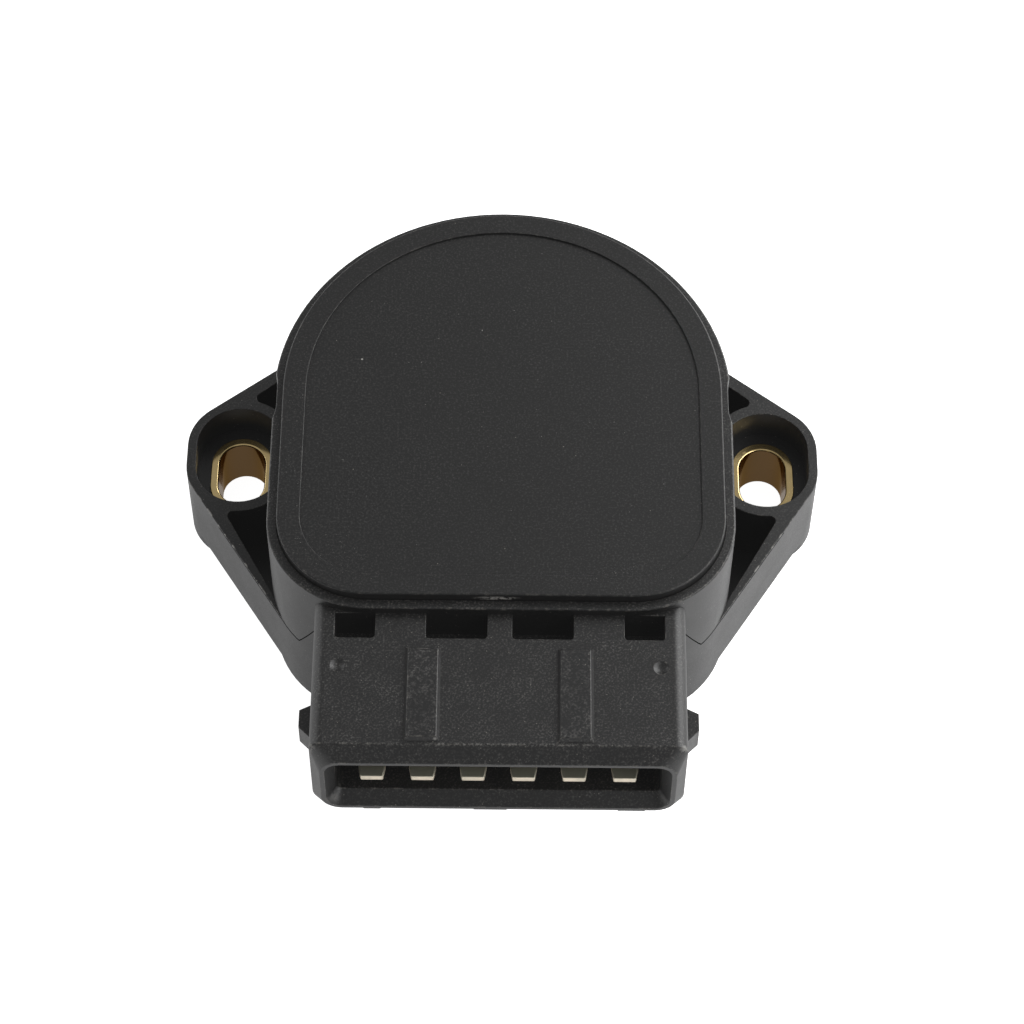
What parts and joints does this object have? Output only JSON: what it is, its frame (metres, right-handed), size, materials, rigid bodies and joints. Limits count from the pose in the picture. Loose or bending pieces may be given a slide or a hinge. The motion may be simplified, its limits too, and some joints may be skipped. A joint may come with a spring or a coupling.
{
  "type": "throttle position sensor",
  "caption": "D-shaped moulded sensor case with slotted brass-bushed ears, a plug shroud with flat blades and a sprung rotor that a throttle shaft turns.",
  "frame": {"origin": "where the rotor's axis meets the mounting face", "axes": "+Z along the rotor's axis up through the cover, -Y the way the plug shroud faces, +X to the right as seen from the shroud"},
  "size_m": [0.0672, 0.0657, 0.0226],
  "materials": {
    "case_plastic": "moulded, glass-filled, satin",
    "cover_plastic": "moulded, fine-grained",
    "bush_brass": "drawn, dull",
    "blade_tin": "tin-plated, satin",
    "sealing_rubber": "matt",
    "plate_ceramic": "fired, matt",
    "rotor_plastic": "moulded, natural",
    "sleeve_brass": "turned",
    "wiper_bronze": "rolled strip",
    "spring_steel": "drawn wire"
  },
  "bodies": {
    "case": {"housing": "case_plastic", "cover": "cover_plastic", "cover_bead": "sealing_rubber", "left_bush": "bush_brass", "right_bush": "bush_brass", "terminal_1": "blade_tin", "terminal_2": "blade_tin", "terminal_3": "blade_tin", "terminal_4": "blade_tin", "terminal_5": "blade_tin", "terminal_6": "blade_tin", "track_plate": "plate_ceramic", "return_spring": "spring_steel", "thrust_washer": "spring_steel", "shaft_seal": "sealing_rubber", "base_seal": "sealing_rubber"},
    "rotor": {"rotor": "rotor_plastic", "drive_sleeve": "sleeve_brass", "wiper_inner": "wiper_bronze", "wiper_outer": "wiper_bronze"}
  },
  "joints": [
    {"name": "rotor_turn", "type": "hinge", "parent": "case", "child": "rotor", "pos_m": [0, 0, 0.006], "axis": [0, 0, 1], "range_deg": [0, 100], "stiffness_Nm_per_rad": 0.012, "springref_deg": -28.65, "deforming": ["return_spring"]}
  ]
}
